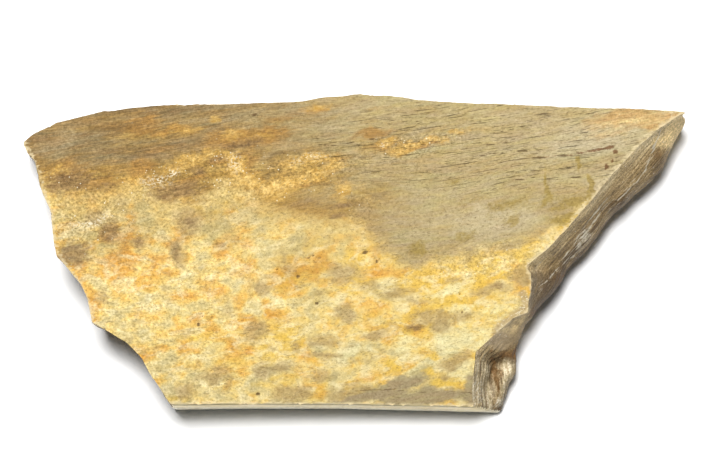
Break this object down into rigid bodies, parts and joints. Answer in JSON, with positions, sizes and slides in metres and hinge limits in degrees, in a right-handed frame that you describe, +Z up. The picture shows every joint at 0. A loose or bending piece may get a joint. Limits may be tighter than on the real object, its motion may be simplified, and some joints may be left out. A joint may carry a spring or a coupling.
{
  "type": "fossil dinosaur bone section",
  "caption": "Flat-lying section of petrified dinosaur limb bone with a weathered, gently arched outer surface, a straight sawn edge, broken sides and a flat sawn back.",
  "frame": {"origin": "bottom centre of the piece's bounding box, on the plane of its flat sawn back", "axes": "+X along the piece, nearly along the bone's grain, from the scalloped break towards the long broken end; +Y from the straight sawn edge to the opposite long edge; +Z up, out of the bone's outer surface"},
  "size_m": [0.1342, 0.0634, 0.0173],
  "materials": {
    "petrified_bone": "weathered petrified bone: cream, yellow and olive-brown mineral staining over fine fibrous grain, brown on the breaks"
  },
  "bodies": {
    "root": {"bone_section": "petrified_bone"}
  },
  "joints": []
}
